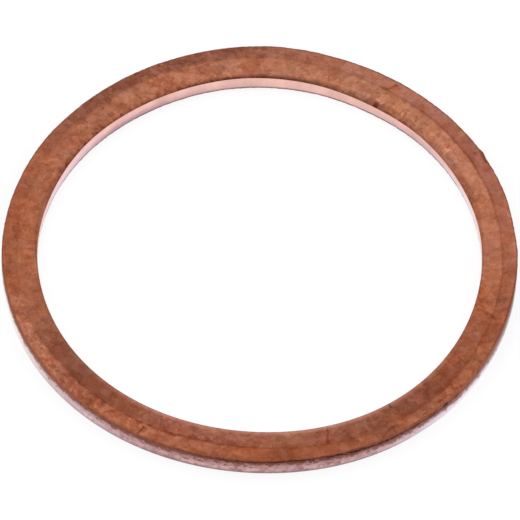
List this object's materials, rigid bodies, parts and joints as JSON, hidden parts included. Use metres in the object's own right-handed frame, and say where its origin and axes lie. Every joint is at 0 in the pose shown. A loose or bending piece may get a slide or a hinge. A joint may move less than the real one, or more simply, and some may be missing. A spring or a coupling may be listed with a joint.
{
  "type": "sealing ring",
  "caption": "Flat stamped copper sealing ring: a thin round washer with a wide bore, crushed between a threaded plug or fitting and its flat seat to seal it.",
  "frame": {"origin": "centre of the bore, on the flat lower face that the ring lies on", "axes": "+Z along the axis of the bore, towards the ridged upper face"},
  "size_m": [0.0489, 0.0488, 0.002],
  "materials": {
    "copper": "bare stamped copper, dull and lightly tarnished on its face, smoother and paler on its cut walls"
  },
  "bodies": {
    "root": {"sealing_ring": "copper"}
  },
  "joints": []
}
